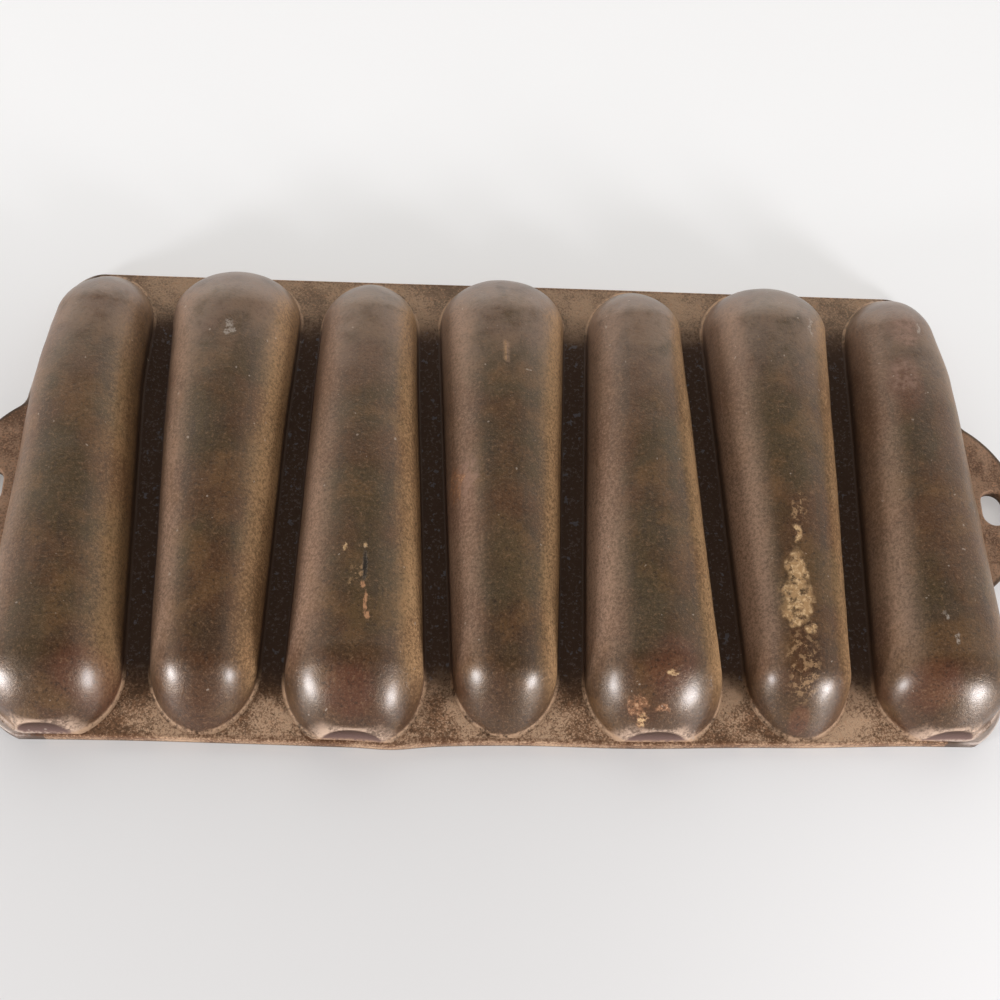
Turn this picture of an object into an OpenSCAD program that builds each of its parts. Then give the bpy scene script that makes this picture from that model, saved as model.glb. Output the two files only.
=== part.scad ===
// Cast iron corn stick pan, lying rim down as it is stored, with the backs of the moulds up.
// The long side runs along X, the rim plane is z = 0 and the origin is at the middle of it.
// The pan is one casting. Its regions are drawn one by one and meet face to face:
// seven ear-of-corn moulds, the flat webs between them and the two end lips with their hanging ears.

/* [Pan] */
// Short side of the pan, over the straight edges of the rim
pan_w = 150; // [140:1:190]
// Distance from one mould to the next
pitch = 42; // [35:0.5:52]
// Height from the rim plane to the top of the mould backs
pan_h = 24; // [20:0.5:32]
// Thickness of the flat webs and of the ears
plate_t = 4; // [3:0.1:5]

/* [Mould back] */
// Half width of a mould at its stem end
stem_half = 19.5; // [15:0.1:23.5]
// Distance of the stem end's centre from the rim edge, at the foot
stem_inset = 16.5; // [14.5:0.1:20]
// How far the stem end's round would pass the rim edge, which trims it
stem_over = 1.1; // [0.4:0.1:2]
// How much further in than that centre the crest starts
stem_draw = 4.5; // [2:0.1:7]
// Half width of a mould at its tip end
tip_half = 14.9; // [11:0.1:17.8]
// How far the tip end's round reaches past its centre
tip_reach = 18.5; // [15:0.1:22]
// Web left in front of each tip
tip_gap = 0.8; // [0.6:0.1:2]
// How much lower the crest is at the tip end
tip_drop = 2; // [0:0.1:4]
// Slope of the trimmed stem end, as a share of height
trim_lean = 0.3; // [0.1:0.01:0.4]

/* [Mould cavity] */
// Wall between the cavity's ridges and the back
wall = 3.5; // [2.8:0.1:4.5]
// Land between the cavity's stem end and the rim edge
rim_land = 3; // [2.5:0.1:6]
// Depth of a kernel pocket below the ridges round it
kernel_depth = 0.9; // [0.3:0.05:1.2]

/* [End lips and ears] */
// Width of the end lip beside the stem end of the last mould
stem_lip = 0.6; // [0.5:0.1:3]
// Width of the end lip beside the tip end of the last mould
tip_lip = 2.6; // [1:0.1:4]
// Radius of the ear's outline
ear_r = 32.8; // [28:0.1:40]
// Distance of the ear's centre outward from the last mould's centre line
ear_out = 1.3; // [0:0.1:6]
// Concave round between ear and end lip
ear_fillet = 5; // [2:0.5:8]
// Width of the hanging slot, along the pan
slot_w = 7.6; // [5:0.1:9.2]
// Length of the hanging slot, across the pan
slot_l = 11.6; // [10:0.1:20]
// Metal between the slot and the outer edge of the ear
slot_edge = 4.9; // [3:0.1:7]

/* [Hidden] */
iron = [0.34, 0.27, 0.22];
web_iron = [0.47, 0.38, 0.29];
ear_iron = [0.42, 0.33, 0.26];
mould_count = 7;
kernel_rows = 9;
kernels_long = 16;
// Where the two rounds of a mould are centred, in the mould's own frame with the stem end at -Y
stem_y = pan_w / 2 - stem_inset;
stem_reach = stem_inset + stem_over;
tip_y = pan_w / 2 - tip_gap - tip_reach;
// Rounding of the back and of the cavity across the mould
back_n = 2.3;
cavity_n = 2.2;
// Rounding of the two ends seen from above: 2 is an ellipse, more is squarer, less is more pointed
stem_n = 2;
tip_n = 1.85;
// How late the stem end's and the tip end's profiles draw in with height
stem_late = 1.2;
tip_late = 1;
// Divisions of one side of the back: trimmed face, stem round, flank and tip round
n_trim = 2;
n_stem = 6;
n_flank = 4;
n_tip = 5;
n_back = n_trim + n_stem + n_flank + n_tip;
back_levels = 7;
least_trim = 4;
// Divisions of one side of the cavity, two to a kernel
m_stem = 6;
m_flank = 2 * kernels_long;
m_tip = 4;
n_cavity = m_stem + m_flank + m_tip;
round_fn = 96;
over = 1;

function mix(a, b, u) = a + (b - a) * u;
function mould_x(k) = (k - (mould_count + 1) / 2) * pitch;
function is_odd(i) = i % 2 == 1;

// Share of an end round's reach that is left at share s of the height
function end_share(s, late) = sqrt(1 - pow(s, late));

// Centre, half width and reach of the stem end's round at share s of the height
function stem_centre(s) = stem_y - stem_draw * s;
function stem_half_at(s) = stem_half - (stem_half - tip_half) * stem_draw * s / (stem_y + tip_y);
function stem_reach_at(s, reach) = (reach + stem_draw) * end_share(s, stem_late) - stem_draw * (1 - s);

// How wide and how far out a round of exponent n is at angle a from its nose
function round_x(a, n) = pow(sin(a), 2 / n);
function round_y(a, n) = pow(cos(a), 2 / n);

// Point i of 0 to n_back along one side of the back, from stem to tip, at share s of its height
function back_point(i, s) =
    let (
        z_stem = mix(plate_t, pan_h, s),
        z_tip = mix(plate_t, pan_h - tip_drop, s),
        narrow = pow(1 - pow(s, back_n), 1 / back_n),
        half = stem_half_at(s),
        centre = stem_centre(s),
        stem_r = stem_reach_at(s, stem_reach),
        tip_r = tip_reach * end_share(s, tip_late),
        edge = pan_w / 2 - trim_lean * (z_stem - plate_t),
        trim = acos(min(pow(max(edge - centre, 0) / stem_r, stem_n / 2), cos(least_trim)))
    )
    i <= n_trim ? let (a = trim * i / n_trim)
        [half * narrow * round_x(a, stem_n), -min(edge, centre + stem_r * round_y(a, stem_n)), z_stem]
    : i <= n_trim + n_stem ? let (a = mix(trim, 90, (i - n_trim) / n_stem))
        [half * narrow * round_x(a, stem_n), -centre - stem_r * round_y(a, stem_n), z_stem]
    : i <= n_trim + n_stem + n_flank ? let (u = (i - n_trim - n_stem) / n_flank)
        [mix(half, tip_half, u) * narrow, mix(-centre, tip_y, u), mix(z_stem, z_tip, u)]
    : let (a = 90 * (i - n_trim - n_stem - n_flank) / n_tip)
        [tip_half * narrow * round_y(a, tip_n), tip_y + tip_r * round_x(a, tip_n), z_tip];

// Pocket depth at point i of level j: kernel centres alternate from row to row
function pocket(i, j) = is_odd(j) && is_odd(i + (j - 1) / 2) ? kernel_depth : 0;

// Point i of 0 to n_cavity along one side of the cavity, from stem to tip, at level j
function cavity_point(i, j) =
    let (
        up = 90 * j / kernel_rows,
        on_round = i < m_stem || i > m_stem + m_flank,
        d = pocket(i, j) * (on_round ? cos(up) : 1),
        rise = pow(sin(up), 2 / cavity_n),
        narrow = pow(cos(up), 2 / cavity_n),
        top_stem = pan_h - wall,
        top_tip = pan_h - tip_drop - wall,
        half = stem_half_at(rise),
        centre = stem_centre(rise),
        stem_r = stem_reach_at(rise, stem_inset - rim_land),
        tip_r = (tip_reach - wall) * end_share(rise, tip_late)
    )
    i <= m_stem ? let (a = 90 * i / m_stem)
        [(half - wall + d) * narrow * round_x(a, stem_n), -centre - (stem_r + d) * round_y(a, stem_n),
         (top_stem + d) * rise]
    : i <= m_stem + m_flank ? let (u = (i - m_stem) / m_flank)
        [(mix(half, tip_half, u) - wall + d) * narrow, mix(-centre, tip_y, u),
         (mix(top_stem, top_tip, u) + d) * rise]
    : let (a = 90 * (i - m_stem - m_flank) / m_tip)
        [(tip_half - wall + d) * narrow * round_y(a, tip_n), tip_y + (tip_r + d) * round_x(a, tip_n),
         (top_tip + d) * rise];

// A ring runs up one side (points 0 to n) and back down the other (points n + 1 to 2n - 1)
function ring_side(k, n) = k <= n ? k : 2 * n - k;
function ring_sign(k, n) = k <= n ? 1 : -1;
function mirrored(p, sign) = [p[0] * sign, p[1], p[2]];
function grounded(p) = [p[0], p[1], 0];

// Which crest point lies above point k of a ring of 2n points whose flank starts at f and has m divisions
function crest_index(k, n, f, m) = max(0, min(m, ring_side(k, n) - f));

back_foot = [for (k = [0:2 * n_back - 1])
    grounded(mirrored(back_point(ring_side(k, n_back), 0), ring_sign(k, n_back)))];
back_rings = [for (j = [0:back_levels - 1], k = [0:2 * n_back - 1])
    mirrored(back_point(ring_side(k, n_back), sin(90 * j / back_levels)), ring_sign(k, n_back))];
back_crest = [for (i = [0:n_flank])
    [0, mix(-stem_centre(1), tip_y, i / n_flank), mix(pan_h, pan_h - tip_drop, i / n_flank)]];
cavity_rings = [for (j = [0:kernel_rows - 1], k = [0:2 * n_cavity - 1])
    mirrored(cavity_point(ring_side(k, n_cavity), j), ring_sign(k, n_cavity))];
cavity_crest = [for (i = [0:m_flank])
    let (p = cavity_point(i + m_stem, kernel_rows)) [0, p[1], p[2]]];
mould_points = concat(back_foot, back_rings, back_crest, cavity_rings, cavity_crest);

back_start = 0;
back_top = 2 * n_back * (back_levels + 1);
cavity_start = back_top + n_flank + 1;
cavity_top = cavity_start + 2 * n_cavity * kernel_rows;

// Triangles between rings of 2n points that follow each other from index start
function band_faces(start, n, bands, flip) = [
    for (j = [0:bands - 1], k = [0:2 * n - 1])
        let (
            a = start + 2 * n * j + k,
            b = start + 2 * n * j + (k + 1) % (2 * n),
            c = a + 2 * n,
            d = b + 2 * n
        )
        for (f = [[a, c, d], [a, d, b]]) flip ? [f[2], f[1], f[0]] : f
];

// Triangles from the last ring to the crest line
function crest_faces(ring, crest, n, f0, m, flip) = [
    for (k = [0:2 * n - 1])
        let (
            a = ring + k,
            b = ring + (k + 1) % (2 * n),
            c = crest + crest_index(k, n, f0, m),
            d = crest + crest_index((k + 1) % (2 * n), n, f0, m)
        )
        for (f = c == d ? [[a, c, b]] : [[a, c, d], [a, d, b]]) flip ? [f[2], f[1], f[0]] : f
];

// The rim land is zipped up in three stretches a side: n divisions of the foot beside m of the mouth
function zip_to(i, n, m) = round((i + 0.5) * n / m);
function zip_from(j, n, m) = len([for (i = [0:m - 1]) if (zip_to(i, n, m) <= j) i]);
function foot_at(i, side) = back_start + (side > 0 ? i : (2 * n_back - i) % (2 * n_back));
function mouth_at(i, side) = cavity_start + (side > 0 ? i : (2 * n_cavity - i) % (2 * n_cavity));
function land_stretch(i0, n, j0, m, side) = [
    for (f = concat(
        [for (i = [0:m - 1])
            [foot_at(i0 + zip_to(i, n, m), side), mouth_at(j0 + i + 1, side), mouth_at(j0 + i, side)]],
        [for (j = [0:n - 1])
            [foot_at(i0 + j, side), foot_at(i0 + j + 1, side), mouth_at(j0 + zip_from(j, n, m), side)]]
    )) side > 0 ? f : [f[2], f[1], f[0]]
];
function land_faces(side) = concat(
    land_stretch(0, n_trim + n_stem, 0, m_stem, side),
    land_stretch(n_trim + n_stem, n_flank, m_stem, m_flank, side),
    land_stretch(n_trim + n_stem + n_flank, n_tip, m_stem + m_flank, m_tip, side)
);

mould_faces = concat(
    band_faces(back_start, n_back, back_levels, false),
    crest_faces(back_top - 2 * n_back, back_top, n_back, n_trim + n_stem, n_flank, false),
    band_faces(cavity_start, n_cavity, kernel_rows - 1, true),
    crest_faces(cavity_top - 2 * n_cavity, cavity_top, n_cavity, m_stem, m_flank, true),
    land_faces(1),
    land_faces(-1)
);

// Foot outline of mould k on its left (-1) or right (1) side, from the trimmed stem to the tip
function foot_side(k, side) =
    let (turn = is_odd(k) ? 1 : -1)
    [for (i = [n_trim:n_back]) let (p = back_point(i, 0)) [mould_x(k) + side * p[0], turn * p[1]]];

// Outline of the end lip on the right of the last mould, from the near edge to the far edge
function lip_outline() =
    let (
        x0 = mould_x(mould_count),
        near = [stem_half + stem_lip, stem_reach + stem_lip],
        far = [tip_half + tip_lip, tip_reach + tip_gap],
        start = acos(pow(stem_inset / near[1], stem_n / 2))
    )
    concat(
        [for (i = [0:12]) let (a = mix(start, 90, i / 12))
            [x0 + near[0] * round_x(a, stem_n), -stem_y - near[1] * round_y(a, stem_n)]],
        [for (i = [0:12]) let (a = 90 * i / 12)
            [x0 + far[0] * round_y(a, tip_n), tip_y + far[1] * round_x(a, tip_n)]]
    );

module cob_mould(k) {
    color(iron)
        translate([mould_x(k), 0, 0])
            rotate([0, 0, is_odd(k) ? 0 : 180])
                polyhedron(mould_points, mould_faces, convexity = 6);
}

// The web between moulds k and k + 1 ends on their centre lines, in front of the two tips
module web(k) {
    turn = is_odd(k) ? 1 : -1;
    outline = concat(
        foot_side(k, 1),
        [[mould_x(k), turn * pan_w / 2]],
        foot_side(k + 1, -1),
        [[mould_x(k + 1), -turn * pan_w / 2]]
    );
    color(web_iron)
        linear_extrude(plate_t)
            polygon(outline);
}

// Round in the corner where the ear leaves the end lip, at the far (1) or near (-1) side
module ear_corner(side) {
    ear_x = mould_x(mould_count) + ear_out;
    lip_x = mould_x(mould_count) + mix(stem_half + stem_lip, tip_half + tip_lip, side > 0 ? 0.72 : 0.22);
    corner = [lip_x + ear_fillet,
              side * sqrt(pow(ear_r + ear_fillet, 2) - pow(lip_x + ear_fillet - ear_x, 2))];
    touch = [ear_x, 0] + (corner - [ear_x, 0]) * ear_r / (ear_r + ear_fillet);
    back_x = mould_x(mould_count) + tip_half;
    difference() {
        linear_extrude(plate_t)
            polygon([[back_x, corner[1]], corner, touch, [back_x, touch[1]]]);
        translate([corner[0], corner[1], -over])
            cylinder(r = ear_fillet, h = plate_t + 2 * over, $fn = round_fn);
    }
}

module ear() {
    x0 = mould_x(mould_count);
    ear_x = x0 + ear_out;
    slot_x = ear_x + ear_r - slot_edge - slot_w / 2;
    slot_y = slot_l / 2 - slot_w / 2;
    foot = foot_side(mould_count, 1);
    color(ear_iron)
        difference() {
            union() {
                linear_extrude(plate_t)
                    polygon(concat([[x0, -pan_w / 2]], lip_outline()));
                translate([ear_x, 0, 0])
                    cylinder(r = ear_r, h = plate_t, $fn = round_fn);
                ear_corner(1);
                ear_corner(-1);
            }
            translate([0, 0, -over])
                linear_extrude(plate_t + 2 * over)
                    polygon(concat(
                        [[x0 - ear_r, -pan_w / 2 - over], [foot[0][0], -pan_w / 2 - over]],
                        foot,
                        [[x0, pan_w / 2 + over], [x0 - ear_r, pan_w / 2 + over]]
                    ));
            for (y = [-slot_y, slot_y])
                translate([slot_x, y, -over])
                    cylinder(d = slot_w, h = plate_t + 2 * over, $fn = round_fn);
            translate([slot_x - slot_w / 2, -slot_y, -over])
                cube([slot_w, 2 * slot_y, plate_t + 2 * over]);
        }
}

cob_mould(1);  // cob_mould_1
cob_mould(2);  // cob_mould_2
cob_mould(3);  // cob_mould_3
cob_mould(4);  // cob_mould_4
cob_mould(5);  // cob_mould_5
cob_mould(6);  // cob_mould_6
cob_mould(7);  // cob_mould_7
web(1);  // web_1
web(2);  // web_2
web(3);  // web_3
web(4);  // web_4
web(5);  // web_5
web(6);  // web_6
mirror([1, 0, 0]) ear();  // ear_left
ear();  // ear_right
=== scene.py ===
# Cast iron corn stick pan, lying rim down on a pale table with the backs of its moulds up.
# Sizes are in metres, in the frame's own axes: X along the pan, Y across it, Z up from the rim plane.
import math
import bpy
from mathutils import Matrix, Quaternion, Vector


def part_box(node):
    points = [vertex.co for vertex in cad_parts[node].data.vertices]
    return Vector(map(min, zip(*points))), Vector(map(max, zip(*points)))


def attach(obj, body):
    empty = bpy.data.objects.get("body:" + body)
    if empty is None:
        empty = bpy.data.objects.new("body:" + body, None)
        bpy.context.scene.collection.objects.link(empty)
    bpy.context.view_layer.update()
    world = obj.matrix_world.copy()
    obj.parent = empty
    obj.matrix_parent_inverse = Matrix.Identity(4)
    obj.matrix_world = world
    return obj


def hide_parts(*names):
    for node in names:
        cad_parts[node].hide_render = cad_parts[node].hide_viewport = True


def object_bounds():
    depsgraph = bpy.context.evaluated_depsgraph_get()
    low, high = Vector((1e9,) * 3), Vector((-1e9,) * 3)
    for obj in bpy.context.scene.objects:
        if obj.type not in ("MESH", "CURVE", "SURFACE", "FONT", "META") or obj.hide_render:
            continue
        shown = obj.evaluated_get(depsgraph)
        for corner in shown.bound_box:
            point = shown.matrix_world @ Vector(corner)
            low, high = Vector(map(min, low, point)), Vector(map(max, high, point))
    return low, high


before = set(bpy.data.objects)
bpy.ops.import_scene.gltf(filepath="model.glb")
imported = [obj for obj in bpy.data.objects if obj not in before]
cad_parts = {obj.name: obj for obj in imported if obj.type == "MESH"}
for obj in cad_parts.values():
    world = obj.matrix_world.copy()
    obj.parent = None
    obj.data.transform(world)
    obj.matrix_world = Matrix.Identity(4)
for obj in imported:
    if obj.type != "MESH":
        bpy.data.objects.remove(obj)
cad_lo, cad_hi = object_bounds()

MM = 0.001
EPS = 1e-5

# The pan, read from the frame where the frame says it
half_w = cad_hi.y
pan_h = cad_hi.z
plate_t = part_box("web_1")[1].z
pitch = (sum(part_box("cob_mould_7"), Vector()) - sum(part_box("cob_mould_1"), Vector())).x / 12
stem_half = (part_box("cob_mould_4")[1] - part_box("cob_mould_4")[0]).x / 2

# A mould's back, in its own axes with the stem end at -Y: the sizes that the frame doesn't say
stem_inset = 16.5 * MM
stem_y = half_w - stem_inset
stem_reach = 17.6 * MM
stem_draw = 4.5 * MM
tip_half = 14.9 * MM
tip_reach = 18.5 * MM
tip_clear = 0.8 * MM
tip_y = half_w - tip_clear - tip_reach
tip_drop = 2.0 * MM
tip_sag = 1.3 * MM
sag_start = 10 * MM
sag_run = 50 * MM
tip_limit = half_w - 0.6 * MM
across_power = 2.3
stem_late = 1.2
foot_power = 1.9
crest_power = 1.85

# The trimmed face of the stem end, a shallow scoop under a worn ridge
facet_y = 74.0 * MM
facet_lean = 0.06
facet_scoop = 0.8 * MM
ridge_wear = 0.4 * MM
scoop_half = 11 * MM
scoop_h = 9.5 * MM

# The end moulds are trimmed higher, and off centre towards the pan's end; mould 1's scoop is the widest
end_facet_y = 74.4 * MM
end_facet_lean = 0.10
end_scoop_half = {1: 15 * MM, 7: 12 * MM}
end_scoop_h = 10.0 * MM
end_scoop_shift = 2.5 * MM

# What trim() says of places that the trimmed face doesn't reach
out_of_reach = -9 * MM

# Fillet between a mould and the plate, and the rounded edges of the rim and the slots
foot_round = 0.8 * MM
rim_round = 0.5 * MM
slot_round = 0.6 * MM
under_round = 0.3 * MM

# The cavity
wall = 3.5 * MM
rim_land = 3.0 * MM
kernel_depth = 0.9 * MM
cavity_power = 2.2
kernel_rows = 9
kernels_long = 16

# The end lips and the ears
stem_lip = 0.6 * MM
tip_lip = 2.6 * MM
lip_power = 1.85
ear_r = 32.8 * MM
ear_out = 1.3 * MM
ear_fillet = 5 * MM
slot_w = 7.6 * MM
slot_l = 11.6 * MM
slot_edge = 4.9 * MM

# How the hand-made patterns differ, in mm along X: where the tip leans to, where the stem end leans to,
# and how far the outer shoulder of an end mould's tip is drawn in
LEAN = {1: (2.4, 0.0, 1.0), 2: (0.0, 1.1, 0.0), 3: (0.5, -0.3, 0.0), 4: (0.0, 0.0, 0.0),
        5: (0.0, 0.2, 0.0), 6: (0.0, 0.0, 0.0), 7: (-0.4, 0.0, 3.2)}

# How far the outer foot of an end mould is drawn in, in mm: at its near corner, along the flank, and
# how far that corner is drawn away from the near edge
CORNER_IN, FLANK_IN, CORNER_BACK = 1.2, 0.6, 1.1

# How far the rim's long edges stand out beyond the plate's width, in mm: all along, and in bows given as
# height, place along the pan and width. Side -1 is the near edge, which falls back at its right end
EDGE_OUT = 0.3
EDGE_BOWS = {-1: ((1.25, -40, 31), (0.7, -31, 8), (0.75, 36, 24), (0.25, -80, 20)), 1: ((0.25, 20, 40),)}
NEAR_END_BACK = 0.85

# How strongly sand and painted sheen are laid on the left and right shoulders of the cleaner moulds, beside 1
# for the others
SHOULDER_SAND_AND_SHEEN = {1: (0.55, 0.55), 7: (0.75, 0.4)}


def mould_x(k):
    return (k - 4) * pitch


def mix(a, b, u):
    return a + (b - a) * u


def ease(low, high, value):
    """0 at low, 1 at high and smooth between; low may be the greater."""
    u = min(1.0, max(0.0, (value - low) / (high - low)))
    return u * u * (3 - 2 * u)


def hump(value, centre, width):
    """1 at the centre, falling off smoothly on both sides."""
    return math.exp(-((value - centre) / width) ** 2)


def deselect():
    """Nothing selected and no active object, so the next operator acts on its own piece."""
    bpy.ops.object.select_all(action="DESELECT")
    bpy.context.view_layer.objects.active = None


def pick(piece):
    deselect()
    piece.select_set(True)
    bpy.context.view_layer.objects.active = piece


def mesh_object(name, points, faces):
    """A new mesh object from points and faces, selected and active."""
    mesh = bpy.data.meshes.new(name)
    mesh.from_pydata(points, [], faces)
    mesh.update()
    piece = bpy.data.objects.new(name, mesh)
    bpy.context.scene.collection.objects.link(piece)
    pick(piece)
    return piece


def edit(piece, *steps, whole=True):
    """Runs edit-mode operators on a piece, on all of it or on what is selected already."""
    pick(piece)
    bpy.ops.object.mode_set(mode="EDIT")
    if whole:
        bpy.ops.mesh.select_all(action="SELECT")
    for step, settings in steps:
        step(**settings)
    bpy.ops.object.mode_set(mode="OBJECT")


def select_edges(piece, wanted):
    """Selects the edges whose two ends satisfy a test."""
    mesh = piece.data
    for part in (mesh.vertices, mesh.edges, mesh.polygons):
        part.foreach_set("select", [False] * len(part))
    pick(piece)
    bpy.context.tool_settings.mesh_select_mode = (False, True, False)
    for edge in mesh.edges:
        edge.select = wanted(mesh.vertices[edge.vertices[0]].co, mesh.vertices[edge.vertices[1]].co)


def apply_modifier(piece, kind, **settings):
    modifier = piece.modifiers.new(kind.lower(), kind)
    for key, value in settings.items():
        setattr(modifier, key, value)
    pick(piece)
    bpy.ops.object.modifier_apply(modifier=modifier.name)


# Shape of a mould

def stem_round(rise, foot_reach):
    """Centre, half width and reach of a stem end's round at a share of its height."""
    centre = stem_y - stem_draw * rise
    half = stem_half - (stem_half - tip_half) * stem_draw * rise / (stem_y + tip_y)
    reach = (foot_reach + stem_draw) * math.sqrt(max(0.0, 1 - rise ** stem_late)) - stem_draw * (1 - rise)
    return centre, half, reach


def narrowing(rise, power):
    """Share of its full width that a section keeps at a share of its height."""
    return max(0.0, 1 - rise ** power) ** (1 / power)


def soft_min(a, b, width):
    """The lesser of two numbers, with the corner between them rounded over."""
    h = min(1.0, max(0.0, 0.5 + 0.5 * (b - a) / width))
    return mix(b, a, h) - width * h * (1 - h)


def trim_face(k, x, z):
    """How far out the trimming face of mould k lies at a place of its stem end."""
    out, lean, half, high = facet_y, facet_lean, scoop_half, scoop_h
    if k in (1, 7):
        x = x * (1 if k > 4 else -1) - end_scoop_shift
        out, lean, half, high = end_facet_y, end_facet_lean, end_scoop_half[k], end_scoop_h
    up = max(0.0, z - plate_t)
    middle = max(0.0, 1 - (x / half) ** 2)
    return out - (lean * up + facet_scoop * math.sin(math.pi * min(1.0, up / high))) * middle


def trim(k, x, y, z):
    """Trims the stem end of mould k by that face; also how far the untrimmed end would pass it."""
    if y > -stem_y:
        return y, out_of_reach
    face = trim_face(k, x, z)
    if z <= plate_t:
        return -min(-y, face), out_of_reach
    return -soft_min(-y, face, ridge_wear), -y - face


def side_stations(stem_n, flank_n, tip_n):
    """Stations along one side of a mould: which stretch, and how far along it."""
    stations = [("stem", i / stem_n) for i in range(stem_n)]
    stations += [("flank", i / flank_n) for i in range(flank_n)]
    stations += [("tip", i / tip_n) for i in range(tip_n + 1)]
    return stations


def crest_sag(y, rise):
    """The crest bends down a little more and more towards the tip."""
    return tip_sag * rise * max(0.0, (y - sag_start) / sag_run) ** 2


def back_point(station, z_stem, z_tip, spread):
    """A point of the mould's back between two heights, spread outward by the fillet."""
    stretch, u = station
    rise_stem = min(1.0, max(0.0, (z_stem - plate_t) / (pan_h - plate_t)))
    rise_tip = min(1.0, max(0.0, (z_tip - plate_t) / (pan_h - tip_drop - plate_t)))
    centre, half, reach = stem_round(rise_stem, stem_reach)
    wide = half * narrowing(rise_stem, across_power)
    if stretch == "stem":
        # The power crowds the stations where the face is trimmed
        angle = math.pi / 2 * u ** 1.25
        return (wide + spread) * math.sin(angle), -centre - (reach + spread) * math.cos(angle), z_stem
    thin = tip_half * narrowing(rise_tip, across_power)
    if stretch == "flank":
        y = mix(-centre, tip_y, u)
        return mix(wide, thin, u) + spread, y, mix(z_stem, z_tip, u) - crest_sag(y, rise_tip)
    angle = math.pi / 2 * u
    power = mix(foot_power, crest_power, min(1.0, rise_tip * 3))
    reach = tip_reach * math.sqrt(1 - rise_tip)
    x = (thin + spread) * max(0.0, math.cos(angle)) ** (2 / power)
    y = tip_y + (reach + spread) * math.sin(angle) ** (2 / power)
    return x, min(y, tip_limit), z_tip - crest_sag(y, rise_tip)


def rim_edge(x, side):
    """How far the rim's edge stands out at a place along the pan: the near edge isn't quite straight."""
    x = x / MM
    out = EDGE_OUT
    for height, centre, width in EDGE_BOWS[side]:
        out += height * hump(x, centre, width)
    if side < 0:
        out -= NEAR_END_BACK * ease(80, 120, x)
    return out * MM


def set_down(k, x, y, z=0.0):
    """Where a place of mould k's own frame lies on the pan, with that mould's leans."""
    turn = 1 if k % 2 else -1
    tip_lean, stem_lean, drawn = LEAN[k]
    y = trim(k, x, y, z)[0]
    if k in (1, 7) and x * (k - 4) > 0:
        low = 1 - ease(5 * MM, 15 * MM, z)
        corner = ease(5 * MM, 12 * MM, abs(x)) * ease(-50 * MM, -64 * MM, y) * low
        flank = ease(2 * MM, 10 * MM, abs(x)) * ease(15 * MM, -10 * MM, y) * low
        x -= math.copysign(CORNER_IN * corner + FLANK_IN * flank, x) * MM
        y += CORNER_BACK * corner * MM
    lean = tip_lean * ease(30 * MM, 66 * MM, y) + stem_lean * ease(-15 * MM, -62 * MM, y)
    if x * (k - 4) * turn > 0:
        x *= 1 - drawn * MM / tip_half * ease(38 * MM, 64 * MM, y)
    far = turn * y
    if y < 0:
        # A stem end follows the rim's bowed edge, at the far side by half
        side = 1 if far > 0 else -1
        edge = rim_edge(mould_x(k) + turn * x, side)
        far += side * (edge if side < 0 else 0.5 * edge) * ease(-60 * MM, -70 * MM, y)
    return mould_x(k) + turn * x + lean * MM, far


def kernel_pocket(along, up):
    """Depth of the kernel pocket at a place of the kernel grid: kernels alternate from row to row."""
    shift = 0.5 * (math.floor(up) % 2)
    a = 2 * ((along + shift) % 1) - 1
    b = 2 * (up % 1) - 1
    pillow = max(0.0, (1 - abs(a) ** 3) * (1 - abs(b) ** 3))
    return kernel_depth * pillow ** 0.6


def cavity_point(station, level):
    """A point of the cavity with its kernel pockets, from the mouth (level 0) to the crest (level 1)."""
    stretch, u = station
    angle_up = level * math.pi / 2
    rise = math.sin(angle_up) ** (2 / cavity_power)
    narrow = max(0.0, math.cos(angle_up)) ** (2 / cavity_power)
    stem_kernels, tip_kernels = 3, 2
    if stretch == "stem":
        along, fade = u * stem_kernels, math.cos(angle_up) * u
    elif stretch == "flank":
        along, fade = stem_kernels + u * kernels_long, 1
    else:
        along, fade = stem_kernels + kernels_long + u * tip_kernels, math.cos(angle_up)
    d = kernel_pocket(along, level * kernel_rows / 2) * fade * min(1.0, level * 12)
    top_stem, top_tip = pan_h - wall, pan_h - tip_drop - wall
    centre, half, reach = stem_round(rise, half_w - rim_land - stem_y)
    angle = u * math.pi / 2
    if stretch == "stem":
        return ((half - wall + d) * narrow * math.sin(angle), -centre - (reach + d) * math.cos(angle),
                (top_stem + d) * rise)
    if stretch == "flank":
        return ((mix(half, tip_half, u) - wall + d) * narrow, mix(-centre, tip_y, u),
                (mix(top_stem, top_tip, u) + d) * rise)
    reach = (tip_reach - wall) * math.sqrt(max(0.0, 1 - rise)) + d
    power = 2 / lip_power
    return ((tip_half - wall + d) * narrow * max(0.0, math.cos(angle)) ** power,
            tip_y + reach * math.sin(angle) ** power, (top_tip + d) * rise)


def closed_ring(side):
    """A full ring from one side's points: up the right side and back down the left."""
    return side + [(-x, y, z) for x, y, z in reversed(side[1:-1])]


def skin(rings):
    """Faces between rings of equal length."""
    count = len(rings[0])
    faces = []
    for j in range(len(rings) - 1):
        low, high = j * count, (j + 1) * count
        for i in range(count):
            after = (i + 1) % count
            faces.append((low + i, low + after, high + after, high + i))
    return faces


BACK_STATIONS = side_stations(44, 80, 30)


def back_ring(z_stem, z_tip, spread=0.0):
    return closed_ring([back_point(s, z_stem, z_tip, spread) for s in BACK_STATIONS])


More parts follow.
